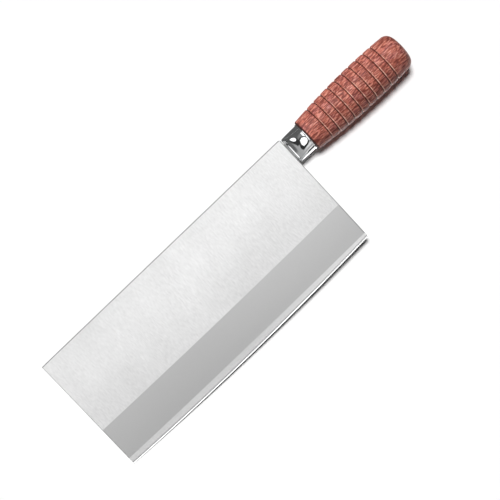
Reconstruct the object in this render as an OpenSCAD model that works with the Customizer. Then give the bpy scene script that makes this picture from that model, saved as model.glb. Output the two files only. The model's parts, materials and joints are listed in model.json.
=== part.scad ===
// A broad vegetable cleaver with a laminated blade, a polished ferrule and a
// turned wooden handle, lying on its side as it comes to rest on a table.
//
// The blade is drawn with its heel's corner at the origin, the spine along X,
// the cutting edge towards -Y and the left side up. The ferrule and the handle
// are drawn about their own axis, which droops a little from the spine. The
// whole knife is then laid down: it touches the table at the tip and under the
// belly of the handle.

/* [Blade] */
// Length of the blade along its spine
blade_l = 215; // [150:1:260]
// Height of the blade at its tip end
tip_h = 87; // [75:0.5:110]
// Height of the blade at its heel
heel_h = 86; // [75:0.5:110]
// How far the cutting edge bows out past a straight line
edge_bow = 2.2; // [0.6:0.1:4]
// Lean of the heel from square to the spine, in degrees
heel_lean = 1.1; // [0:0.1:3]
// Thickness of the blade at its spine
blade_t = 2; // [1.6:0.1:3.2]
// Thickness of the hard core between the two soft layers
core_t = 0.6; // [0.5:0.05:0.9]
// Width of the ground bevel at the tip end
bevel_tip_w = 29.8; // [20:0.5:45]
// Width of the ground bevel at the heel
bevel_heel_w = 28.5; // [20:0.5:45]
// How far the lines of the ground bevel bow out
bevel_bow = 0.8; // [0.2:0.1:2]
// Thickness that the bevel leaves behind the sharpened edge
back_t = 0.38; // [0.3:0.02:0.46]
// Width of the sharpened edge
edge_w = 1.1; // [0.6:0.1:2]
// Rounding of the heel's corner at the spine
heel_round = 1.5; // [0.5:0.1:4]

/* [Tang] */
// Length of the stub tang behind the heel
stub_l = 9.5; // [8:0.5:11]
// Height of the stub tang
stub_w = 12; // [8:0.5:14]
// Thickness of the stub tang
stub_t = 1.6; // [1:0.1:1.9]
// Diameter of the rod that is welded to the stub
rod_d = 6; // [4.5:0.1:6.4]
// Diameter of the rod's peened head
head_d = 8.6; // [7:0.1:10]
// Height of the rod's peened head
head_h = 1.1; // [0.6:0.1:1.4]

/* [Ferrule] */
// Length of the ferrule
ferrule_l = 14.3; // [13.5:0.1:20]
// Diameter of the ferrule at the handle
ferrule_d = 20; // [18.4:0.2:22]
// Width of the ferrule at the blade
ferrule_w = 19.4; // [18:0.2:22]
// Thickness of the ferrule at the blade
ferrule_t = 7; // [6:0.1:9]
// Thickness of the ferrule's wall
ferrule_wall = 1; // [0.6:0.1:1.4]
// Rounding of the ferrule's front edge, at the blade
ferrule_round = 1.4; // [0.6:0.1:1.5]
// Squareness of the ferrule's oval end at the blade, where 2 is an ellipse
oval_power = 2.4; // [2:0.1:4]
// Share of the taper that rises straight, before it eases into the rim
straight_share = 0.15; // [0:0.05:0.9]
// Length of the ferrule's beaded rim at the handle
rim_l = 1.4; // [0.8:0.1:2]
// How far the bead stands out
rim_rise = 0.5; // [0.1:0.05:0.6]
// Gap between the heel and the ferrule
ferrule_gap = 0.4; // [0.2:0.1:1]

/* [Handle] */
// Length of the handle
handle_l = 86; // [75:0.5:110]
// Diameter at the front of the handle
front_d = 23.6; // [21.7:0.1:26]
// Diameter at the belly of the handle, its fattest place
belly_d = 29.3; // [27:0.1:34]
// Distance from the front to the belly
belly_at = 51.5; // [35:0.5:60]
// Diameter that the sides come in to at the butt
butt_d = 26.2; // [22:0.1:26.8]
// Radius of the domed butt
dome_r = 42; // [30:1:90]
// Rounding between the sides and the dome
butt_round = 6; // [3:0.5:6.5]
// Rounding of the handle's front edge
front_round = 1.2; // [0.4:0.1:1.8]
// Droop of the handle's axis from the line of the spine, in degrees
droop = 0.5; // [0:0.1:3]
// Distance from the spine down to the handle's axis at the heel
axis_drop = 10.5; // [10:0.1:14]

/* [Grooves] */
// Number of ring grooves
groove_n = 10; // [4:1:10]
// Distance from the front of the handle to the first groove
groove_at = 11.9; // [8:0.1:16]
// Distance from one groove to the next
groove_pitch = 6.45; // [4:0.05:6.7]
// Width of a groove at the surface
groove_w = 1.5; // [0.8:0.1:2.4]
// Depth of a groove
groove_depth = 0.7; // [0.3:0.1:1.2]

/* [Butt washer] */
// Diameter of the washer
washer_d = 13; // [11:0.2:15]
// Thickness of the washer
washer_t = 1.2; // [0.8:0.1:1.6]
// Depth of the washer's recess below the top of the dome
recess_h = 2.7; // [2.4:0.1:4]

/* [Hidden] */

// Thickness left at the very edge, as sharp as a solid can be
edge_t = 0.05;
// Clearance of the tenon, the washer and the tang's slot
fit = 0.15;
// Clearance of the rod in the handle and the washer
rod_fit = 0.1;
// Reach of a cut past what it cuts
overrun = 1;
// How far a rounding starts outside the sides that it joins, so that they cross
lap = 0.005;
// Step out from the ferrule's tapering shape to the round of its rim
rim_step = 0.06;
// Fragments of round shapes, and of arcs so large that a blade spans few degrees
$fn = 96;
arc_fn = 2400;
// Power that makes the ferrule's outline round
round_power = 2;
// Points round the ferrule's taper, rings along it and rings round its front edge
taper_fn = 56;
taper_n = 10;
edge_n = 4;

// Thickness gained per unit of height, on the bevel and on the sharpened edge
bevel_gain = 2 * (blade_t - back_t) / (bevel_tip_w + bevel_heel_w);
edge_gain = (back_t - edge_t) / edge_w;

// Places along the handle's axis, from the heel
rod_x = ferrule_gap + ferrule_wall + rod_d / 2;
rim_x = ferrule_gap + ferrule_l - rim_l;
handle_x = ferrule_gap + ferrule_l;
seat_x = handle_x + handle_l - recess_h + washer_t;

// Room inside the ferrule, and the tenon that fills it from the stub's end on
cavity_x = ferrule_gap + ferrule_wall;
cavity_r = ferrule_d / 2 - ferrule_wall;
cavity_t = ferrule_t / 2 - ferrule_wall;
tenon_x = stub_l + fit;
tenon_r = cavity_t - fit + (cavity_r - cavity_t) * (tenon_x - cavity_x) / (rim_x - cavity_x);

// The handle's sides are two arcs that meet at the belly
front_run = belly_at;
butt_run = handle_l - belly_at;
front_arc_r = arc_r(2 * front_run, (belly_d - front_d) / 2);
butt_arc_r = arc_r(2 * butt_run, (belly_d - butt_d) / 2);

// The table touches the tip's lower corner and the arc before the belly
reach_x = blade_l + (handle_x + belly_at) * cos(droop) - axis_drop * sin(droop);
reach_z = front_arc_r - (belly_d - blade_t) / 2;
pitch = asin(front_arc_r / norm([reach_x, reach_z])) - atan2(reach_z, reach_x);
lift = blade_l * sin(pitch) + blade_t / 2 * cos(pitch);

// Middle of the knife's length and breadth as it lies
middle_x = ((handle_x + handle_l) - blade_l) / 2 * cos(pitch);
top_y = belly_d / 2 - axis_drop - (handle_x + belly_at) * sin(droop);
low_y = -(tip_h + heel_h) / 2 - edge_bow;
middle_y = (top_y + low_y) / 2;

// Radius of an arc from its chord and how far it bows out
function arc_r(chord, bow) = (pow(chord / 2, 2) + pow(bow, 2)) / (2 * bow);

// Radius of the handle's side at a distance from its front
function side_r(at) =
    let (r = at < belly_at ? front_arc_r : butt_arc_r)
    belly_d / 2 - r + sqrt(pow(r, 2) - pow(at - belly_at, 2));

// Centre of a rounding of radius r inside two circles, on the left of a to b
function round_centre(a, ra, b, rb, r) =
    let (
        d = norm(b - a),
        along = (b - a) / d,
        run = (pow(d, 2) + pow(ra - r + lap, 2) - pow(rb - r + lap, 2)) / (2 * d),
        side = sqrt(pow(ra - r + lap, 2) - pow(run, 2))
    )
    a + along * run + [-along.y, along.x] * side;

// Where a rounding touches the circle round c that it lies in
function touch(c, r, at) = c + (at - c) * r / norm(at - c);

// Lays the knife down, with its middle over the origin
module laid_down()
    translate([-middle_x, -middle_y, lift])
        rotate([0, -pitch, 0])
            children();

// How far the taper has turned from flat to round, at a share of its length
function roundness(at) =
    let (rise = 2 / (1 + straight_share))
    at < straight_share
        ? rise * at
        : 1 - rise * pow(1 - at, 2) / (2 * (1 - straight_share));

// Points round an oval, from half of its width and thickness and how square it is
function outline(x, half_w, half_t, power) = [
    for (i = [0 : taper_fn - 1])
        let (
            a = (i + 0.5) * 360 / taper_fn,
            y = sign(cos(a)) * pow(abs(cos(a)), 2 / power),
            z = sign(sin(a)) * pow(abs(sin(a)), 2 / power)
        )
        [x, half_w * y, half_t * z]
];

// Value at a share of the way from one to another
function between(from, to, share) = from + (to - from) * share;

// Outline of the ferrule at a share of its taper, set in by a wall
function taper_outline(x, at, inset) =
    let (share = roundness(at))
    outline(
        x, between(ferrule_w, ferrule_d, share) / 2 - inset,
        between(ferrule_t, ferrule_d, share) / 2 - inset, between(oval_power, round_power, share)
    );

// Places what is drawn along X at the heel, on the handle's drooping axis
module on_axis()
    rotate([0, 0, -droop])
        translate([0, -axis_drop, 0])
            children();

// A round shape that starts at a place on the axis and runs to the butt
module turned(at)
    translate([at, 0, 0])
        rotate([0, 90, 0])
            children();

// A wedge that narrows outwards, swept along an arc from a to b that bows out
// towards -Y. Its thickness is given at the arc, with what it gains per unit in
module swept_wedge(a, b, bow, t, gain, past) {
    r = arc_r(norm(b - a), bow);
    inner = r - max(tip_h, heel_h) - edge_bow - overrun;
    reach = norm(b - a) / 2 + abs(tip_h - heel_h) + heel_round;
    span = 2 * asin(reach / inner);
    along = (b - a) / norm(b - a);
    translate((a + b) / 2 + [-along.y, along.x] * (r - bow))
        rotate([0, 0, atan2(along.y, along.x) - 90 - span / 2])
            rotate_extrude(angle = span, $fn = arc_fn)
                polygon([
                    [inner, -(t + gain * (r - inner)) / 2],
                    [r + past, -(t - gain * past) / 2],
                    [r + past, (t - gain * past) / 2],
                    [inner, (t + gain * (r - inner)) / 2]
                ]);
}

// What a rounding leaves of a corner: its circle, and all up to x and up to y
module rounded(centre, r, x, y) {
    translate(centre)
        circle(r = r);
    translate([x - 2 * blade_l, -blade_l])
        square([2 * blade_l, 2 * blade_l]);
    translate([-blade_l, y - 2 * blade_l])
        square([2 * blade_l, 2 * blade_l]);
}

// Outline of the blank: square at the tip, leaning at the heel, one corner round
module blank() {
    deep = max(tip_h, heel_h) + edge_bow + overrun;
    in = heel_round - lap;
    round_at = [-in * (1 + sin(heel_lean)) / cos(heel_lean), -in];
    intersection() {
        polygon([[-blade_l, 0], [0, 0], [-deep * tan(heel_lean), -deep], [-blade_l, -deep]]);
        rounded(round_at, heel_round, round_at.x, round_at.y);
    }
}

// One layer of the blade and of the stub tang behind it
module layer(low, high, stub_low, stub_high) {
    intersection() {
        translate([0, 0, low])
            linear_extrude(height = high - low)
                blank();
        swept_wedge(
            [-blade_l, bevel_tip_w - tip_h], [0, bevel_heel_w - heel_h],
            bevel_bow, blade_t, bevel_gain, max(bevel_tip_w, bevel_heel_w) + edge_bow
        );
        swept_wedge([-blade_l, -tip_h], [0, -heel_h], edge_bow, edge_t, edge_gain, 0);
    }
    on_axis()
        translate([-stub_w / 2, -stub_w / 2, stub_low])
            cube([stub_l + stub_w / 2, stub_w, stub_high - stub_low]);
}

module left_cladding()
    laid_down()
        color([0.86, 0.86, 0.86])
            layer(core_t / 2, blade_t / 2, core_t / 2, stub_t / 2);

module right_cladding()
    laid_down()
        color([0.86, 0.86, 0.86])
            layer(-blade_t / 2, -core_t / 2, -stub_t / 2, -core_t / 2);

module blade_core()
    laid_down()
        color([0.78, 0.78, 0.79])
            layer(-core_t / 2, core_t / 2, -core_t / 2, core_t / 2);

// Solid through outlines that follow one another along X
module loft(outlines) {
    last = len(outlines) - 1;
    start = last * taper_fn;
    sides = [
        for (k = [0 : last - 1], i = [0 : taper_fn - 1])
            let (a = k * taper_fn + i, b = k * taper_fn + (i + 1) % taper_fn)
            each [[a, a + taper_fn, b + taper_fn], [a, b + taper_fn, b]]
    ];
    front = [for (i = [0 : taper_fn - 1]) i];
    back = [for (i = [taper_fn - 1 : -1 : 0]) start + i];
    polyhedron(points = [for (o = outlines) each o], faces = concat(sides, [front, back]));
}

// Solid that turns from flat to round, set in by a wall, with its front edge rounded
module flat_to_round(from, inset, edge) {
    run = rim_x - from - edge;
    loft([
        if (edge > 0)
            for (k = [0 : edge_n - 1])
                let (a = 90 * k / edge_n)
                taper_outline(from + edge * (1 - cos(a)), 0, inset + edge * (1 - sin(a))),
        for (k = [0 : taper_n])
            taper_outline(from + edge + run * k / taper_n, k / taper_n, inset),
        taper_outline(rim_x + rim_l / 2, 1, inset)
    ]);
}

// Room inside the ferrule, from its front wall to the handle
module cavity() {
    flat_to_round(cavity_x, ferrule_wall, 0);
    turned(rim_x)
        cylinder(r = cavity_r + rim_step, h = rim_l);
}

// The stub tang with a clearance all round
module stub_room(gap)
    translate([-overrun, -stub_w / 2 - gap, -stub_t / 2 - gap])
        cube([stub_l + overrun, stub_w + 2 * gap, stub_t + 2 * gap]);

module ferrule()
    laid_down()
        color([0.75, 0.76, 0.77])
            on_axis()
                difference() {
                    union() {
                        flat_to_round(ferrule_gap, 0, ferrule_round);
                        turned(rim_x)
                            cylinder(r = ferrule_d / 2 + rim_step, h = rim_l);
                        turned(rim_x + rim_l / 2)
                            rotate_extrude()
                                translate([ferrule_d / 2 + rim_rise - rim_l / 2, 0])
                                    circle(d = rim_l);
                    }
                    cavity();
                    turned(rim_x)
                        cylinder(r = cavity_r + rim_step, h = rim_l + overrun);
                    stub_room(fit);
                }

module ferrule_filler()
    laid_down()
        color([0.55, 0.42, 0.3])
            on_axis()
                difference() {
                    intersection() {
                        cavity();
                        translate([0, -ferrule_d / 2, -ferrule_d / 2])
                            cube([tenon_x, ferrule_d, ferrule_d]);
                    }
                    stub_room(0);
                    turned(rod_x)
                        cylinder(d = rod_d, h = handle_x);
                }

module tang_rod() {
    cap_r = arc_r(head_d, head_h);
    laid_down()
        color([0.6, 0.6, 0.62])
            on_axis() {
                difference() {
                    turned(rod_x)
                        cylinder(d = rod_d, h = seat_x - rod_x);
                    translate([0, -rod_d, -stub_t / 2])
                        cube([stub_l, 2 * rod_d, stub_t]);
                }
                intersection() {
                    turned(seat_x + head_h - cap_r)
                        sphere(r = cap_r);
                    turned(seat_x)
                        cylinder(d = head_d + overrun, h = head_h + overrun);
                }
            }
}

// Half of the handle's outline, from its front to the domed butt
module half_outline() {
    front_c = [belly_d / 2 - front_arc_r, belly_at];
    butt_c = [belly_d / 2 - butt_arc_r, belly_at];
    dome_c = [0, handle_l - dome_r];
    // The rounding of the front edge, inside the front arc
    front_y = front_round - lap;
    front_reach = front_arc_r - front_round + lap;
    front_x = front_c.x + sqrt(pow(front_reach, 2) - pow(belly_at - front_y, 2));
    // The rounding of the butt, inside the butt's arc and the dome
    butt_at = round_centre(butt_c, butt_arc_r, dome_c, dome_r, butt_round);
    side_touch = touch(butt_c, butt_arc_r, butt_at);
    dome_touch = touch(dome_c, dome_r, butt_at);
    intersection() {
        bulge(front_arc_r);
        square([belly_d / 2, belly_at]);
        mirror([0, 1])
            rounded([front_x, -front_y], front_round, front_x, -front_y);
    }
    intersection() {
        bulge(butt_arc_r);
        translate([0, belly_at])
            square([belly_d / 2, butt_run]);
        translate(dome_c)
            circle(r = dome_r, $fn = arc_fn);
        rounded(butt_at, butt_round, dome_touch.x, side_touch.y);
    }
}

// The disc whose rim is one of the handle's sides
module bulge(r)
    translate([belly_d / 2, belly_at])
        translate([-r, 0])
            circle(r = r, $fn = arc_fn);

// One ring groove, cut from the half outline
module groove(at) {
    flank = groove_w / 2 / groove_depth;
    deep = side_r(at) - groove_depth;
    polygon([
        [deep, at],
        [deep + groove_depth + overrun, at - flank * (groove_depth + overrun)],
        [deep + groove_depth + overrun, at + flank * (groove_depth + overrun)]
    ]);
}

module handle()
    laid_down()
        color([0.6, 0.36, 0.31])
            on_axis()
                difference() {
                    union() {
                        turned(handle_x)
                            rotate_extrude()
                                difference() {
                                    half_outline();
                                    for (i = [0 : groove_n - 1])
                                        groove(groove_at + i * groove_pitch);
                                }
                        turned(tenon_x)
                            cylinder(r1 = tenon_r, r2 = cavity_r - fit, h = rim_x - tenon_x);
                        turned(rim_x)
                            cylinder(r = cavity_r - fit, h = rim_l);
                    }
                    turned(tenon_x - overrun)
                        cylinder(d = rod_d + 2 * rod_fit, h = seat_x - tenon_x);
                    turned(seat_x - washer_t)
                        cylinder(d = washer_d + 2 * fit, h = recess_h + overrun);
                }

module butt_washer()
    laid_down()
        color([0.72, 0.72, 0.73])
            on_axis()
                turned(seat_x - washer_t)
                    difference() {
                        cylinder(d = washer_d, h = washer_t);
                        translate([0, 0, -overrun])
                            cylinder(d = rod_d + 2 * rod_fit, h = washer_t + 2 * overrun);
                    }

left_cladding();
blade_core();
right_cladding();
ferrule();
ferrule_filler();
tang_rod();
handle();
butt_washer();
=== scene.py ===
import json
from math import asin, copysign, cos, pi, radians, sin, sqrt, tan

import bpy
from mathutils import Matrix, Vector


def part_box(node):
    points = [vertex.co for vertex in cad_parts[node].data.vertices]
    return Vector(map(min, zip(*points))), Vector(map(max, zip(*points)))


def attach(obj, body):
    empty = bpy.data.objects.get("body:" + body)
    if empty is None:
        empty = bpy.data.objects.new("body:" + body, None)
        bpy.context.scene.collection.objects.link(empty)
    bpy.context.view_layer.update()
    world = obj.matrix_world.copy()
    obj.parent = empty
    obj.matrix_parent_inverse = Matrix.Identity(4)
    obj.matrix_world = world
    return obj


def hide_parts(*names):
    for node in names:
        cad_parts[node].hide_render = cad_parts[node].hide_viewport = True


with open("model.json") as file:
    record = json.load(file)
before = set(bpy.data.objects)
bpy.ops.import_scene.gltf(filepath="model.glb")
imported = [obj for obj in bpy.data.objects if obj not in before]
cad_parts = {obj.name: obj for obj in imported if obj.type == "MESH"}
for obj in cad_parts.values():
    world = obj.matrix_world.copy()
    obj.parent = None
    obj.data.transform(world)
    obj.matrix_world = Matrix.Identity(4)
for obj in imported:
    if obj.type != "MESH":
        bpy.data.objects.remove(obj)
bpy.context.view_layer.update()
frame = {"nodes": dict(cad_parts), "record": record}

# The knife's lengths are in millimetres until MM makes them metres
MM = 0.001

# The knife's own directions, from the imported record
blade_up = Vector(frame["record"]["mounts"][0]["axis"])
spine_way = Vector((blade_up.z, 0, -blade_up.x))
breadth_way = Vector((0, 1, 0))

# The handle's axis droops by this angle from the line of the spine
DROOP = radians(0.5)
axis_way = spine_way * cos(DROOP) - breadth_way * sin(DROOP)
side_way = breadth_way * cos(DROOP) + spine_way * sin(DROOP)


def middle(node):
    """The middle of a node's box."""
    low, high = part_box(node)
    return (low + high) / 2


washer_at = middle("butt_washer")


def reach_along(node):
    """Where a node starts and ends along the handle's axis, in millimetres from the washer."""
    places = [(v.co - washer_at).dot(axis_way) / MM for v in frame["nodes"][node].data.vertices]
    return min(places), max(places)


def on_axis(start):
    """The frame of the handle's axis: X along it from start, Y to the side, Z up from the blade."""
    turn = Matrix((axis_way, side_way, blade_up)).transposed().to_4x4()
    return Matrix.Translation(washer_at + axis_way * start * MM) @ turn @ Matrix.Scale(MM, 4)


ferrule_start, ferrule_end = reach_along("ferrule")
tenon_start = reach_along("handle")[0]
washer_start = reach_along("butt_washer")[0]


# Mesh helpers
def ringed(rings, name, start, smooth_angle):
    """A closed mesh through rings of equally many points, whose last ring meets the first one.
    Its places are in the frame of the axis from start, and edges over smooth_angle stay sharp."""
    count = len(rings[0])
    points = [p for ring in rings for p in ring]
    faces = []
    for k in range(len(rings)):
        here = k * count
        there = (k + 1) % len(rings) * count
        for i in range(count):
            j = (i + 1) % count
            faces.append((here + i, here + j, there + j, there + i))
    mesh = bpy.data.meshes.new(name)
    mesh.from_pydata(points, [], faces)
    mesh.transform(on_axis(start))
    mesh.validate()
    mesh.polygons.foreach_set("use_smooth", [True] * len(mesh.polygons))
    piece = bpy.data.objects.new(name, mesh)
    bpy.context.scene.collection.objects.link(piece)
    mesh.set_sharp_from_angle(angle=radians(smooth_angle))
    return piece


def turned(profile, name, count, smooth_angle):
    """A turned piece from a closed profile of places along the handle's axis and radii."""
    rings = []
    for along, radius in profile:
        ring = []
        for i in range(count):
            a = 2 * pi * i / count
            ring.append((along, radius * cos(a), radius * sin(a)))
        rings.append(ring)
    return ringed(rings, name, 0, smooth_angle)


def spread(start, end, count):
    """Evenly spaced values from start to end, both of them included."""
    return [start + (end - start) * i / (count - 1) for i in range(count)]


# Node helpers
class Nodes:
    """A material's node tree, with short calls for the nodes that the finishes use."""

    def __init__(self, name):
        self.material = bpy.data.materials.new(name)
        self.material.use_nodes = True
        self.tree = self.material.node_tree
        self.shader = self.tree.nodes["Principled BSDF"]
        self.place = self.add("ShaderNodeTexCoord").outputs["Object"]

    def add(self, kind):
        return self.tree.nodes.new(kind)

    def link(self, source, target):
        if isinstance(source, (int, float, tuple)):
            target.default_value = source
        else:
            self.tree.links.new(source, target)

    def maths(self, operation, a, b=0.0, c=0.0):
        node = self.add("ShaderNodeMath")
        node.operation = operation
        for value, socket in zip((a, b, c), node.inputs):
            self.link(value, socket)
        return node.outputs[0]

    def ramp(self, value, low, high, start=0.0, end=1.0, smooth=True):
        """start below low, end above high, and a smooth or linear change between them."""
        node = self.add("ShaderNodeMapRange")
        node.interpolation_type = "SMOOTHSTEP" if smooth else "LINEAR"
        for number, name in (
            (low, "From Min"),
            (high, "From Max"),
            (start, "To Min"),
            (end, "To Max"),
        ):
            node.inputs[name].default_value = number
        self.link(value, node.inputs["Value"])
        return node.outputs["Result"]

    def mix(self, share, a, b, blend="MIX"):
        node = self.add("ShaderNodeMix")
        node.data_type = "RGBA"
        node.blend_type = blend
        self.link(share, node.inputs[0])
        self.link(a, node.inputs[6])
        self.link(b, node.inputs[7])
        return node.outputs[2]

    def mix_value(self, share, a, b):
        return self.maths("MULTIPLY_ADD", share, self.maths("SUBTRACT", b, a), a)

    def place_in(self, matrix):
        """The place on the piece in another frame."""
        rows = []
        inverse = matrix.inverted()
        for k in range(3):
            dot = self.add("ShaderNodeVectorMath")
            dot.operation = "DOT_PRODUCT"
            self.link(self.place, dot.inputs[0])
            dot.inputs[1].default_value = tuple(inverse[k][:3])
            rows.append(self.maths("ADD", dot.outputs["Value"], inverse[k][3]))
        join = self.add("ShaderNodeCombineXYZ")
        for row, socket in zip(rows, join.inputs):
            self.link(row, socket)
        return join.outputs[0]

    def near(self, value, at, inner, outer):
        """A share that is whole within inner of a place and gone beyond outer."""
        gap = self.maths("ABSOLUTE", self.maths("SUBTRACT", value, at))
        return self.ramp(gap, inner, outer, 1, 0)

    def stretched(self, source, scale, shift=(0, 0, 0)):
        node = self.add("ShaderNodeMapping")
        node.inputs["Scale"].default_value = scale
        node.inputs["Location"].default_value = shift
        self.link(source, node.inputs["Vector"])
        return node.outputs[0]

    def noise(self, place, scale=1.0, detail=3.0, rough=0.55):
        node = self.add("ShaderNodeTexNoise")
        node.inputs["Scale"].default_value = scale
        node.inputs["Detail"].default_value = detail
        node.inputs["Roughness"].default_value = rough
        self.link(place, node.inputs["Vector"])
        return node.outputs["Fac"]

    def split(self, place):
        node = self.add("ShaderNodeSeparateXYZ")
        self.link(place, node.inputs[0])
        return node.outputs

    def bump(self, height, distance, strength):
        node = self.add("ShaderNodeBump")
        node.inputs["Distance"].default_value = distance
        node.inputs["Strength"].default_value = strength
        self.link(height, node.inputs["Height"])
        return node.outputs["Normal"]

    def neutral(self, level):
        """A grey of this level."""
        node = self.add("ShaderNodeCombineColor")
        for socket in node.inputs[:3]:
            self.link(level, socket)
        return node.outputs[0]

    def finish(self, colour, rough, normal=None, **fixed):
        """Gives the shader its colour, roughness, normal and any fixed values, spaces as _."""
        self.link(colour, self.shader.inputs["Base Color"])
        self.link(rough, self.shader.inputs["Roughness"])
        if normal is not None:
            self.link(normal, self.shader.inputs["Normal"])
        for name, value in fixed.items():
            self.shader.inputs[name.replace("_", " ")].default_value = value
        return self.material


def grey(level):
    return (level, level, level, 1)


# The blade's outline
BLADE_L = 215  # along the spine
TIP_H = 87
HEEL_H = 86
HEEL_LEAN = radians(1.1)
EDGE_BOW = 2.2  # of the edge's arc over its chord


def edge_arc():
    """Centre and radius of the cutting edge in the row frame, in metres."""
    low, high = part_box("blade_core")
    tip = Vector((low.x, spine_y - TIP_H * MM))
    heel = Vector((low.x + BLADE_L * MM * spine_way.x, spine_y - HEEL_H * MM))
    chord = heel - tip
    radius = ((chord.length / 2) ** 2 + (EDGE_BOW * MM) ** 2) / (2 * EDGE_BOW * MM)
    along = chord.normalized()
    inward = Vector((-along.y, along.x))
    return (tip + heel) / 2 + inward * (radius - EDGE_BOW * MM), radius


spine_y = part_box("left_cladding")[1].y
ARC_CENTRE, ARC_RADIUS = edge_arc()


def above_edge(nodes):
    """How far a place on the blade is from the cutting edge, in millimetres."""
    away = nodes.add("ShaderNodeVectorMath")
    away.operation = "MULTIPLY_ADD"
    nodes.link(nodes.place, away.inputs[0])
    away.inputs[1].default_value = (1, 1, 0)
    away.inputs[2].default_value = (-ARC_CENTRE.x, -ARC_CENTRE.y, 0)
    length = nodes.add("ShaderNodeVectorMath")
    length.operation = "LENGTH"
    nodes.link(away.outputs[0], length.inputs[0])
    gone = nodes.maths("SUBTRACT", ARC_RADIUS, length.outputs["Value"])
    return nodes.maths("MULTIPLY", gone, 1 / MM)


def facing_edge(nodes):
    """How far the true surface leans towards the cutting edge, which is 0 on the flat."""
    geometry = nodes.add("ShaderNodeNewGeometry")
    y = nodes.split(geometry.outputs["True Normal"])[1]
    return nodes.maths("MULTIPLY", y, -1.0)


def rim_painted_shade(nodes):
    """Painted shade along the blade's spine, tip and heel, as on an eased rim: the share of the tone
    that the flat faces keep near these rims. Faces that are not flat keep all of it.
    """
    start = Vector((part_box("blade_core")[0].x, spine_y, 0))
    along = nodes.add("ShaderNodeVectorMath")
    along.operation = "DOT_PRODUCT"
    nodes.link(nodes.place, along.inputs[0])
    along.inputs[1].default_value = tuple(spine_way / MM)
    from_tip = nodes.maths("SUBTRACT", along.outputs["Value"], start.dot(spine_way) / MM)
    y = nodes.split(nodes.place)[1]
    from_spine = nodes.maths("MULTIPLY_ADD", y, -1 / MM, start.y / MM)
    heel = nodes.maths("MULTIPLY_ADD", from_spine, -tan(HEEL_LEAN), BLADE_L)
    from_heel = nodes.maths("SUBTRACT", heel, from_tip)
    kept_share = nodes.ramp(from_spine, 0.40, 0.65, 0.25, 1)
    kept_share = nodes.maths("MINIMUM", kept_share, nodes.ramp(from_tip, 0.30, 0.60, 0.55, 1))
    kept_share = nodes.maths("MINIMUM", kept_share, nodes.ramp(from_heel, 0.30, 0.60, 0.45, 1))
    geometry = nodes.add("ShaderNodeNewGeometry")
    z = nodes.maths("ABSOLUTE", nodes.split(geometry.outputs["True Normal"])[2])
    return nodes.maths("MAXIMUM", kept_share, nodes.ramp(z, 0.5, 0.8, 1, 0))


def streaks(nodes, across, along, shift=0.0):
    """Fine grinding lines that run from the spine to the edge."""
    place = nodes.stretched(nodes.place, (across, along, along), (shift, shift, shift))
    return nodes.noise(place, 1.0, 2.0, 0.6)


def steel_of_the_faces():
    """Satin steel with grinding lines and a finer, greyer bevel. Painted shade darkens the tone
    slowly towards the edge and the tip, and a painted lightening brightens the bevel towards the
    heel.
    """
    nodes = Nodes("satin_steel")
    coarse = streaks(nodes, 1250, 330)
    fine = streaks(nodes, 3400, 160, 3.1)
    patches = nodes.noise(nodes.stretched(nodes.place, (45, 30, 30)), 1.0, 2.0)
    lean = facing_edge(nodes)
    not_flat = nodes.ramp(lean, 0.010, 0.016)
    bevel_share = nodes.maths("MULTIPLY", not_flat, nodes.ramp(lean, 0.5, 0.6, 1, 0))
    mixed = nodes.mix_value(0.4, coarse, fine)
    spread_of_lines = nodes.ramp(mixed, 0.3, 0.7, -1.0, 1.0, smooth=False)
    cloudy = nodes.ramp(patches, 0.35, 0.65, -1.0, 1.0, smooth=False)
    away = above_edge(nodes)
    # Painted shade across the blade: the flat's grey and the bevel's grey both fall slowly towards
    # the edge
    flat_grey_and_painted_shade = nodes.ramp(away, 30.0, 72.0, 0.71, 0.82)
    flat_tone = nodes.maths("MULTIPLY_ADD", spread_of_lines, 0.10, flat_grey_and_painted_shade)
    flat_tone = nodes.maths("MULTIPLY_ADD", cloudy, 0.02, flat_tone)
    bevel_grey_and_painted_shade = nodes.ramp(away, 5.0, 30.0, 0.44, 0.50, smooth=False)
    bevel_tone = nodes.maths("MULTIPLY_ADD", spread_of_lines, 0.015, bevel_grey_and_painted_shade)
    length = nodes.split(nodes.place)[0]
    # Painted shade along the blade: the flat darkens towards the tip, and the bevel lightens towards
    # the heel
    flat_tone = nodes.maths("MULTIPLY", flat_tone, nodes.ramp(length, -0.15, -0.04, 0.94, 1.0))
    bevel_tone = nodes.maths("MULTIPLY", bevel_tone, nodes.ramp(length, -0.12, 0.05, 0.93, 1.12))
    tone = nodes.mix_value(bevel_share, flat_tone, bevel_tone)
    # Painted shade along the spine, tip and heel of the flat faces
    tone = nodes.maths("MULTIPLY", tone, rim_painted_shade(nodes))
    rough = nodes.ramp(mixed, 0.3, 0.7, 0.44, 0.54, smooth=False)
    depth = nodes.mix_value(bevel_share, 1.0, 0.2)
    normal = nodes.bump(nodes.maths("MULTIPLY", mixed, depth), 0.00004, 0.5)
    return nodes.finish(nodes.neutral(tone), rough, normal, Metallic=1.0)


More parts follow.
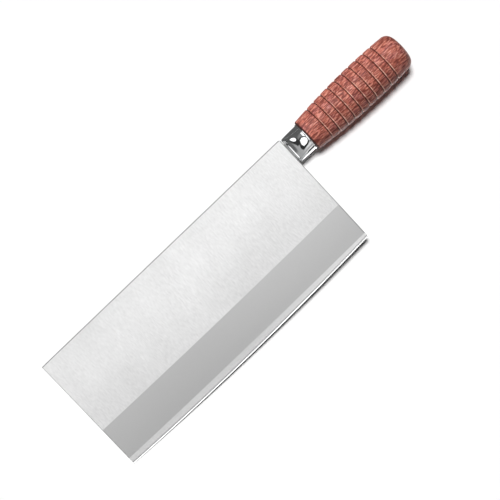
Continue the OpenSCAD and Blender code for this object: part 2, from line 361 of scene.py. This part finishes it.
def steel_of_the_core():
    """Finely ground steel with a dark line above a bright sharpened edge."""
    nodes = Nodes("ground_core_steel")
    lines = streaks(nodes, 2600, 150, 1.7)
    away = above_edge(nodes)
    level = nodes.ramp(lines, 0.3, 0.7, 0.60, 0.64, smooth=False)
    length = nodes.split(nodes.place)[0]
    # Painted shade along the blade: the core darkens towards the tip and lightens towards the heel
    level = nodes.maths("MULTIPLY", level, nodes.ramp(length, -0.06, 0.05, 0.86, 1.05))
    dark_share = nodes.maths("MULTIPLY", nodes.ramp(away, 0.6, 0.8), nodes.ramp(away, 1.1, 1.8, 1, 0))
    edge_share = nodes.ramp(away, 0.55, 0.7, 1, 0)
    toned = nodes.mix(nodes.maths("MULTIPLY", dark_share, 0.55), grey(1.0), grey(0.3))
    colour = nodes.mix(1.0, nodes.neutral(level), toned, "MULTIPLY")
    colour = nodes.mix(edge_share, colour, grey(0.98))
    rough = nodes.mix_value(edge_share, nodes.ramp(lines, 0.3, 0.7, 0.42, 0.52, smooth=False), 0.22)
    normal = nodes.bump(lines, 0.00002, 0.4)
    return nodes.finish(colour, rough, normal, Metallic=1.0)


def polished_steel():
    """Mirror polish with faint rubbing marks and smears."""
    nodes = Nodes("polished_steel")
    rub = nodes.noise(nodes.stretched(nodes.place, (900, 2600, 2600)), 1.0, 3.0)
    smear = nodes.noise(nodes.place, 260, 2.0)
    rough = nodes.ramp(rub, 0.3, 0.7, 0.05, 0.09, smooth=False)
    tone = nodes.mix(nodes.ramp(smear, 0.4, 0.6), (0.80, 0.81, 0.82, 1), (0.84, 0.845, 0.85, 1))
    normal = nodes.bump(smear, 0.00002, 0.15)
    return nodes.finish(tone, rough, normal, Metallic=1.0)


def plain_steel(name, tone, low, high):
    """Drawn or stamped steel: a dull tone with fine lines and stains."""
    nodes = Nodes(name)
    lines = nodes.noise(nodes.stretched(nodes.place, (300, 2600, 2600)), 1.0, 3.0)
    stain = nodes.noise(nodes.place, 420, 3.0)
    dark = tuple(c * 0.8 for c in tone[:3]) + (1,)
    colour = nodes.mix(nodes.ramp(stain, 0.35, 0.65), dark, tone)
    rough = nodes.ramp(lines, 0.3, 0.7, low, high, smooth=False)
    return nodes.finish(colour, rough, nodes.bump(lines, 0.00003, 0.4), Metallic=1.0)


def cast_resin():
    """Dull brown resin with a cloudy swirl."""
    nodes = Nodes("cast_resin")
    swirl = nodes.noise(nodes.place, 500, 4.0)
    colour = nodes.mix(nodes.ramp(swirl, 0.3, 0.7), (0.20, 0.14, 0.09, 1), (0.33, 0.24, 0.16, 1))
    rough = nodes.ramp(swirl, 0.3, 0.7, 0.45, 0.6, smooth=False)
    return nodes.finish(colour, rough, nodes.bump(swirl, 0.0001, 0.3))


# The handle, turned from one profile with eased grooves, its tenon, bore and recess
FRONT_D = 23.6
BELLY_D = 29.3
BELLY_AT = 51.5  # from the front, as the other places are
BUTT_D = 26.2
HANDLE_L = 86
DOME_R = 42
DOME_AT = HANDLE_L - DOME_R
BUTT_ROUND = 6
FRONT_ROUND = 1.2
GROOVE_N = 10
GROOVE_AT = 11.9  # of the first groove
GROOVE_PITCH = 6.45
GROOVE_HALF = 1.15
GROOVE_DEPTH = 0.9
RECESS_R = 6.65
BORE_R = 3.1
TENON_R = 6.86
TENON_BASE_R = 8.85
HANDLE_POINTS = 200  # round each ring of the mesh
SIDE_RINGS = 760

# Where a groove's painted highlight and painted shade sit, from its middle towards the butt
HIGHLIGHT_AT = 0.50
GROOVE_SHADE_AT = -0.12


def side_radius(at):
    """Radius of the handle's sides at a distance from its front: two arcs that meet at the belly."""
    run, rise = BELLY_AT, (BELLY_D - FRONT_D) / 2
    if at > BELLY_AT:
        run, rise = HANDLE_L - BELLY_AT, (BELLY_D - BUTT_D) / 2
    radius = (run * run + rise * rise) / (2 * rise)
    return BELLY_D / 2 - radius + sqrt(radius * radius - (at - BELLY_AT) ** 2)


def groove_cut(at):
    """Depth that the grooves take at a distance from the front: a sharp bottom and eased lips."""
    depth = 0.0
    for i in range(GROOVE_N):
        away = abs(at - GROOVE_AT - i * GROOVE_PITCH) / GROOVE_HALF
        if away < 1:
            depth = GROOVE_DEPTH * (1 - away) ** 2
    return depth


def butt_profile():
    """The round between the sides and the dome, as places along the axis and radii, with the
    angle at which it meets the dome. Its centre is searched for, so that it touches both."""
    best_gap, centre_x, centre_r = DOME_R, 0, 0
    for x in spread(HANDLE_L - 2 * BUTT_ROUND, HANDLE_L, 601):
        r = side_radius(x) - BUTT_ROUND
        gap = abs(sqrt((x - DOME_AT) ** 2 + r ** 2) - (DOME_R - BUTT_ROUND))
        if gap < best_gap:
            best_gap, centre_x, centre_r = gap, x, r
    out = asin(centre_r / (DOME_R - BUTT_ROUND))
    places = []
    for a in spread(pi / 2, out, 14):
        places.append((centre_x + BUTT_ROUND * cos(a), centre_r + BUTT_ROUND * sin(a)))
    return places, out


def handle_profile(recess_at, tenon_at):
    """The handle's closed profile from its front, round the butt and back through the bore."""
    profile = []
    for a in spread(pi, pi / 2, 7):
        x = FRONT_ROUND * (1 + cos(a))
        profile.append((x, side_radius(FRONT_ROUND) - FRONT_ROUND * (1 - sin(a))))
    butt, out = butt_profile()
    for x in spread(FRONT_ROUND, butt[0][0], SIDE_RINGS)[1:-1]:
        profile.append((x, side_radius(x) - groove_cut(x)))
    profile += butt
    for a in spread(out, asin(RECESS_R / DOME_R), 10)[1:]:
        profile.append((DOME_AT + DOME_R * cos(a), DOME_R * sin(a)))
    profile += [(recess_at, RECESS_R), (recess_at, BORE_R), (tenon_at, BORE_R)]
    profile += [(tenon_at, TENON_R), (-RIM_L, TENON_BASE_R), (0, TENON_BASE_R)]
    return profile


def oiled_wood():
    """Open-pored reddish wood, with painted shade in each groove and against the ferrule, and a
    painted highlight on each groove's butt-side wall.
    """
    nodes = Nodes("oiled_hardwood")
    place = nodes.place_in(on_axis(ferrule_end))
    along, aside = nodes.split(place)[:2]
    pores = nodes.noise(nodes.stretched(place, (0.21, 1.15, 1.15)), 1.0, 1.0, 0.6)
    hairs = nodes.noise(nodes.stretched(place, (0.40, 2.4, 2.4)), 1.0, 1.0, 0.6)
    figure = nodes.noise(nodes.stretched(place, (0.035, 0.17, 0.30)), 1.0, 3.0, 0.6)
    hue = nodes.noise(nodes.stretched(place, (0.09, 0.35, 0.35), (7, 7, 7)), 1.0, 2.0)
    body = nodes.mix(nodes.ramp(figure, 0.35, 0.65), (0.36, 0.092, 0.060, 1), (0.66, 0.20, 0.14, 1))
    body = nodes.mix(nodes.ramp(hue, 0.48, 0.70, 0, 0.6), body, (0.46, 0.15, 0.15, 1))
    dark_share = nodes.ramp(pores, 0.48, 0.58)
    body = nodes.mix(nodes.maths("MULTIPLY", dark_share, 0.75), body, (0.12, 0.022, 0.017, 1))
    pale_share = nodes.ramp(pores, 0.34, 0.44, 1, 0)
    body = nodes.mix(nodes.maths("MULTIPLY", pale_share, 0.6), body, (0.82, 0.38, 0.29, 1))
    thin_share = nodes.ramp(hairs, 0.50, 0.60)
    body = nodes.mix(nodes.maths("MULTIPLY", thin_share, 0.6), body, (0.14, 0.028, 0.021, 1))
    past_first = nodes.maths("SUBTRACT", along, GROOVE_AT)
    groove = nodes.maths("ROUND", nodes.maths("DIVIDE", past_first, GROOVE_PITCH))
    groove = nodes.maths("MINIMUM", nodes.maths("MAXIMUM", groove, 0), GROOVE_N - 1)
    groove_at = nodes.maths("MULTIPLY_ADD", groove, GROOVE_PITCH, GROOVE_AT)
    past_groove = nodes.maths("SUBTRACT", along, groove_at)
    # Painted highlight on each groove's butt-side wall, stronger on the edge's side and broken up by
    # noise
    painted_highlight_share = nodes.near(past_groove, HIGHLIGHT_AT, 0.10, 0.34)
    painted_highlight_share = nodes.maths("MULTIPLY", painted_highlight_share, nodes.ramp(aside, -2.0, 8.0, 1.0, 0.15))
    highlight_breakup = nodes.noise(nodes.stretched(place, (0.05, 0.25, 0.25), (3, 3, 3)), 1.0, 2.0)
    painted_highlight_share = nodes.maths("MULTIPLY", painted_highlight_share, nodes.ramp(highlight_breakup, 0.40, 0.60, 0.25, 1.0))
    body = nodes.mix(painted_highlight_share, body, (0.92, 0.56, 0.44, 1))
    # Painted shade in the front half of each groove and on the wood's front edge, against the ferrule
    painted_shade_share = nodes.near(past_groove, GROOVE_SHADE_AT, 0.15, 0.38)
    painted_shade_share = nodes.maths("MAXIMUM", painted_shade_share, nodes.ramp(along, 0.5, 1.1, 1, 0))
    body = nodes.mix(nodes.maths("MULTIPLY", painted_shade_share, 0.9), body, (0.035, 0.011, 0.010, 1))
    rough = nodes.ramp(pores, 0.4, 0.65, 0.34, 0.55, smooth=False)
    depth = nodes.maths("MULTIPLY_ADD", thin_share, -0.5, nodes.maths("MULTIPLY", dark_share, -1.0))
    normal = nodes.bump(depth, 0.00012, 0.6)
    return nodes.finish(body, rough, normal, Specular_IOR_Level=0.25)


def wooden_handle(material):
    """The whole handle, whose front meets the end of the ferrule."""
    profile = handle_profile(washer_start - ferrule_end, tenon_start - ferrule_end)
    profile = [(ferrule_end + x, r) for x, r in profile]
    piece = turned(profile, "turned_handle", HANDLE_POINTS, smooth_angle=40)
    piece.data.materials.append(material)
    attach(piece, "root")
    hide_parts("handle")
    return piece


# The ferrule, one smooth shell from the blade's slot to the beaded rim
FERRULE_D = 20
FERRULE_W = 19.4  # breadth of the flat end
FERRULE_T = 7  # thickness of the flat end
FERRULE_WALL = 1
FERRULE_ROUND = 1.4
OVAL_POWER = 2.4  # how square the flat end's oval is
ROUND_POWER = 2  # a plain ellipse
SQUARE_POWER = 12  # nearly a rectangle, for the slot
STRAIGHT_SHARE = 0.15  # of the taper, before it starts to ease
RIM_L = 1.4
RIM_RISE = 0.5
SLOT_W = 12.3
SLOT_T = 1.9
FERRULE_POINTS = 240  # round each ring of the mesh


def roundness(at_share):
    """How far the taper has turned from flat to round, at a share of its length."""
    rise = 2 / (1 + STRAIGHT_SHARE)
    if at_share < STRAIGHT_SHARE:
        return rise * at_share
    return 1 - rise * (1 - at_share) ** 2 / (2 * (1 - STRAIGHT_SHARE))


def outline(x, half_w, half_t, power):
    """Points round an oval, from half of its width and thickness and how square it is."""
    points = []
    for i in range(FERRULE_POINTS):
        a = 2 * pi * (i + 0.5) / FERRULE_POINTS
        y = copysign(abs(cos(a)) ** (2 / power), cos(a))
        z = copysign(abs(sin(a)) ** (2 / power), sin(a))
        points.append((x, half_w * y, half_t * z))
    return points


def taper_outline(x, at_share, inset):
    """The taper's outline at x, a share of its length on, drawn in by an inset."""
    share = roundness(at_share)
    half_w = (FERRULE_W + (FERRULE_D - FERRULE_W) * share) / 2 - inset
    half_t = (FERRULE_T + (FERRULE_D - FERRULE_T) * share) / 2 - inset
    return outline(x, half_w, half_t, OVAL_POWER + (ROUND_POWER - OVAL_POWER) * share)


def slot_outline(x):
    """The slot that the stub tang goes through."""
    return outline(x, SLOT_W / 2, SLOT_T / 2, SQUARE_POWER)


def ferrule_shell(material):
    """The shell from the slot over the eased front, the taper and the rim, and back inside."""
    length = ferrule_end - ferrule_start
    rim_start = length - RIM_L
    run = rim_start - FERRULE_ROUND
    rings = [slot_outline(FERRULE_WALL), slot_outline(0)]
    for a in spread(0, pi / 2, 9):
        x = FERRULE_ROUND * (1 - cos(a))
        rings.append(taper_outline(x, 0, FERRULE_ROUND * (1 - sin(a))))
    for at_share in spread(0, 1, 61)[1:]:
        rings.append(taper_outline(FERRULE_ROUND + run * at_share, at_share, 0))
    for a in spread(pi, 0, 25)[1:]:
        x = rim_start + RIM_L / 2 * (1 + cos(a))
        rings.append(taper_outline(x, 1, -RIM_RISE * sin(a)))
    rings.append(taper_outline(length, 1, FERRULE_WALL))
    for at_share in spread(1, 0, 13):
        x = FERRULE_WALL + (rim_start - FERRULE_WALL) * at_share
        rings.append(taper_outline(x, at_share, FERRULE_WALL))
    piece = ringed(rings, "ferrule_shell", ferrule_start, smooth_angle=50)
    piece.data.materials.append(material)
    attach(piece, "root")
    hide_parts("ferrule")
    return piece


# Finishes of the CAD nodes
def dress(node, material):
    """Gives a CAD node its material."""
    slots = frame["nodes"][node].data.materials
    slots.clear()
    slots.append(material)


face_steel = steel_of_the_faces()
dress("left_cladding", face_steel)
dress("right_cladding", face_steel)
dress("blade_core", steel_of_the_core())
dress("ferrule_filler", cast_resin())
dress("tang_rod", plain_steel("peened_rod_steel", (0.52, 0.52, 0.53, 1), 0.28, 0.42))
dress("butt_washer", plain_steel("stamped_washer_steel", (0.62, 0.62, 0.63, 1), 0.22, 0.34))
handle = wooden_handle(oiled_wood())
ferrule = ferrule_shell(polished_steel())


# Floor, light and camera
def pale_floor():
    """A wide white table top."""
    half = 6
    mesh = bpy.data.meshes.new("floor")
    corners = [(-half, -half, 0), (half, -half, 0), (half, half, 0), (-half, half, 0)]
    mesh.from_pydata(corners, [], [(0, 1, 2, 3)])
    floor = bpy.data.objects.new("floor", mesh)
    bpy.context.scene.collection.objects.link(floor)
    nodes = Nodes("pale_floor")
    grain = nodes.noise(nodes.place, 3.0, 2.0)
    colour = nodes.mix(grain, grey(0.965), grey(0.985))
    mesh.materials.append(nodes.finish(colour, 0.9, Specular_IOR_Level=0.0))
    return floor


def towards(azimuth, elevation, distance=1.0):
    """A place seen from the ferrule, its azimuth counted from the butt towards the spine."""
    a, e = radians(azimuth), radians(elevation)
    way = Vector((cos(e) * cos(a), cos(e) * sin(a), sin(e)))
    return middle("ferrule") + way * distance


def lit_group(name, targets):
    """The only objects that some of the lights light."""
    group = bpy.data.collections.new(name)
    for target in targets:
        group.objects.link(target)
    return group


def glow(piece, level, lit):
    """Makes a stage piece that only reflections show. A light one shows in the given objects
    alone, and the rest look through it. A dark one, which has none given, hides what is behind.
    Neither is sampled as a light, since the renderer at times gives those to the wrong objects."""
    nodes = Nodes(piece.name)
    surface = nodes.add("ShaderNodeEmission")
    nodes.link(level, surface.inputs["Strength"])
    if lit is not None:
        both = nodes.add("ShaderNodeAddShader")
        nodes.link(surface.outputs[0], both.inputs[0])
        nodes.link(nodes.add("ShaderNodeBsdfTransparent").outputs[0], both.inputs[1])
        surface = both
        piece.light_linking.receiver_collection = lit
    nodes.link(surface.outputs[0], nodes.tree.nodes["Material Output"].inputs["Surface"])
    nodes.material.cycles.emission_sampling = "NONE"
    piece.data.materials.append(nodes.material)
    piece.visible_camera = False
    piece.visible_shadow = False
    piece.visible_diffuse = False


def card(name, azimuth, elevation, width, height, level, lit, corners=4, distance=1.0):
    """A plain card that faces the ferrule: dark for shade, bright for a highlight. Its azimuth,
    elevation and size are in degrees, and its distance in metres."""
    mesh = bpy.data.meshes.new(name)
    reach_x = distance * tan(radians(width / 2)) / cos(pi / corners)
    reach_y = distance * tan(radians(height / 2)) / cos(pi / corners)
    angles = [2 * pi * (k + 0.5) / corners for k in range(corners)]
    points = [(reach_x * cos(a), reach_y * sin(a), 0) for a in angles]
    mesh.from_pydata(points, [], [tuple(range(corners))])
    piece = bpy.data.objects.new(name, mesh)
    bpy.context.scene.collection.objects.link(piece)
    centre = towards(azimuth, elevation, distance)
    back = (centre - middle("ferrule")).normalized()
    across = Vector((0, 0, 1)).cross(back).normalized()
    facing = Matrix((across, back.cross(across), back)).transposed().to_4x4()
    piece.matrix_world = Matrix.Translation(centre) @ facing
    glow(piece, level, lit)


def strip(name, side, near, far, start, end, level, lit):
    """A long card beside the knife, between two lines that run along it. Each line has its
    distance from the ferrule's middle and its height; side is 1 at the spine and -1 at the edge."""
    at = middle("ferrule")
    rows = [(at.y + side * away * MM, height * MM) for away, height in (near, far)]
    (y0, z0), (y1, z1) = rows
    x0, x1 = at.x + start * MM, at.x + end * MM
    mesh = bpy.data.meshes.new(name)
    mesh.from_pydata([(x0, y0, z0), (x1, y0, z0), (x1, y1, z1), (x0, y1, z1)], [], [(0, 1, 2, 3)])
    piece = bpy.data.objects.new(name, mesh)
    bpy.context.scene.collection.objects.link(piece)
    glow(piece, level, lit)


class World(Nodes):
    """The world's node tree, with the same short calls."""

    def __init__(self, name):
        self.material = bpy.data.worlds.new(name)
        self.material.use_nodes = True
        self.tree = self.material.node_tree
        self.place = self.add("ShaderNodeTexCoord").outputs["Generated"]
        bpy.context.scene.world = self.material


# The studio's levels of light, most of which only reflections show
LIGHT_LEVEL = 0.85  # on the edge's side
ROOM_LEVEL = 0.42  # at the tip's end and the butt's
DARK_LEVEL = 0.12  # low on the spine's side
HIGH_DARK_LEVEL = 0.26  # high on the spine's side
SKIRTING_LEVEL = 0.14  # low at the tip's end
BACKDROP_LEVEL = 1.0  # for the camera
AMBIENT_LEVEL = 0.03  # for dull surfaces
LAMP_DISTANCE = 2.4  # in metres


def studio_world():
    """The room, by direction, and how bright each kind of ray finds it."""
    nodes = World("studio")
    rays = nodes.add("ShaderNodeLightPath").outputs
    along, towards_spine, height = nodes.split(nodes.place)
    at_edge = nodes.ramp(towards_spine, -0.90, -0.65, 1, 0)
    light_share = nodes.maths("MULTIPLY", at_edge, nodes.ramp(height, 0.15, 0.40))
    level = nodes.mix_value(light_share, ROOM_LEVEL, LIGHT_LEVEL)
    dark_level = nodes.ramp(height, 0.55, 0.75, DARK_LEVEL, HIGH_DARK_LEVEL)
    level = nodes.mix_value(nodes.ramp(towards_spine, 0.0, 0.25), level, dark_level)
    at_tip = nodes.ramp(along, -0.9, -0.5, 1, 0)
    skirting_share = nodes.maths("MULTIPLY", nodes.ramp(height, 0.05, 0.14, 1, 0), at_tip)
    level = nodes.mix_value(skirting_share, level, SKIRTING_LEVEL)
    shown = nodes.maths("MAXIMUM", rays["Is Glossy Ray"], rays["Is Transmission Ray"])
    strength = nodes.maths("MULTIPLY", level, shown)
    other = nodes.maths("SUBTRACT", 1.0, nodes.maths("MAXIMUM", shown, rays["Is Camera Ray"]))
    strength = nodes.maths("MULTIPLY_ADD", other, AMBIENT_LEVEL, strength)
    strength = nodes.maths("MULTIPLY_ADD", rays["Is Camera Ray"], BACKDROP_LEVEL, strength)
    background = nodes.tree.nodes["Background"]
    background.inputs["Color"].default_value = grey(1.0)
    nodes.link(strength, background.inputs["Strength"])


def softbox(name, azimuth, elevation, radius, level, lit, distance=LAMP_DISTANCE):
    """A round lamp, its radius in degrees, that gives this level on a surface that faces it. It
    lights only the given objects, and everything still casts its shadow."""
    lamp = bpy.data.lights.new(name, "AREA")
    lamp.shape = "DISK"
    lamp.size = 2 * distance * tan(radians(radius))
    lamp.energy = level * (pi * distance / cos(radians(radius))) ** 2
    piece = bpy.data.objects.new(name, lamp)
    bpy.context.scene.collection.objects.link(piece)
    way = towards(azimuth, elevation) - middle("ferrule")
    turn = way.to_track_quat("Z", "Y").to_matrix().to_4x4()
    piece.matrix_world = Matrix.Translation(way * distance) @ turn
    piece.light_linking.receiver_collection = lit


# The camera's place and aim, how it is turned, and its lens in millimetres
CAMERA_AT = Vector((-100, 4.2, 1250)) * MM
CAMERA_AIM = Vector((-6.5, 3.7, 6)) * MM
CAMERA_ROLL = radians(43.9)
CAMERA_LENS = 136.8


def set_camera():
    """The photograph's camera: high over the knife, turned so that the handle points up right."""
    data = bpy.data.cameras.new("camera")
    data.sensor_width = 36
    data.lens = CAMERA_LENS
    camera = bpy.data.objects.new("camera", data)
    bpy.context.scene.collection.objects.link(camera)
    back = (CAMERA_AT - CAMERA_AIM).normalized()
    up = Vector((sin(CAMERA_ROLL), cos(CAMERA_ROLL), 0))
    up = (up - back * up.dot(back)).normalized()
    right = up.cross(back)
    turn = Matrix((right, up, back)).transposed().to_4x4()
    camera.matrix_world = Matrix.Translation(CAMERA_AT) @ turn
    bpy.context.scene.camera = camera


# The lamps light the floor and the wood, and the cards and strips only show as reflections
floor = pale_floor()
studio_world()
core = frame["nodes"]["blade_core"]
blade = [core, frame["nodes"]["left_cladding"], frame["nodes"]["right_cladding"]]
steel = blade + [ferrule, frame["nodes"]["tang_rod"], frame["nodes"]["butt_washer"]]
on_floor = lit_group("on_floor", [floor])
on_wood = lit_group("on_wood", [handle, frame["nodes"]["ferrule_filler"]])
on_steel = lit_group("on_steel", steel)
on_both = lit_group("on_both", steel + [handle])
on_blade = lit_group("on_blade", blade)
on_core = lit_group("on_core", [core])
on_ferrule = lit_group("on_ferrule", [ferrule])
on_handle = lit_group("on_handle", [handle])
softbox("floor_key", 84, 76, 7, 1.04, on_floor, distance=40)
softbox("handle_key", 95, 64, 20, 0.58, on_wood)
softbox("handle_sheen", 95, 45, 12, 0.40, on_wood)
softbox("handle_side", 150, 46, 12, 0.36, on_wood)
card("octagon_softbox", 207, 61, 50, 50, 1.5, on_both, corners=8)
card("octagon_shade", 211, 58, 72, 72, 0.03, None, corners=8, distance=1.3)
card("edge_softbox", 276, 58, 16, 16, 3.0, on_core, distance=1.15)
card("fill_softbox", 28, 62, 60, 50, 1.48, on_steel, distance=1.6)
card("low_softbox", 150, 22, 24, 17, 1.8, on_ferrule, corners=8)
card("low_shade", 161, 24, 42, 28, 0.04, None, corners=8, distance=1.2)
card("spine_softbox", 86, 52, 16, 18, 1.6, on_ferrule)
card("spine_wall", 80, 24, 80, 44, 0.35, on_blade, distance=0.9)
card("tip_wall", 150, 24, 60, 44, 0.45, on_blade, distance=0.9)
strip("spine_flag", 1, (11, 0.2), (1200, 0.2), -400, 600, 0.12, None)
strip("edge_flag", -1, (34, 0), (34, 14), -4, 90, 0.06, None)
strip("edge_bounce", -1, (12, 0.2), (34, 0.2), -6, 8, 1.2, on_ferrule)
strip("handle_bounce", -1, (15.5, 0.2), (24, 0.2), 9, 98, 1.4, on_handle)
set_camera()

view = bpy.context.scene.view_settings
view.view_transform = "Standard"
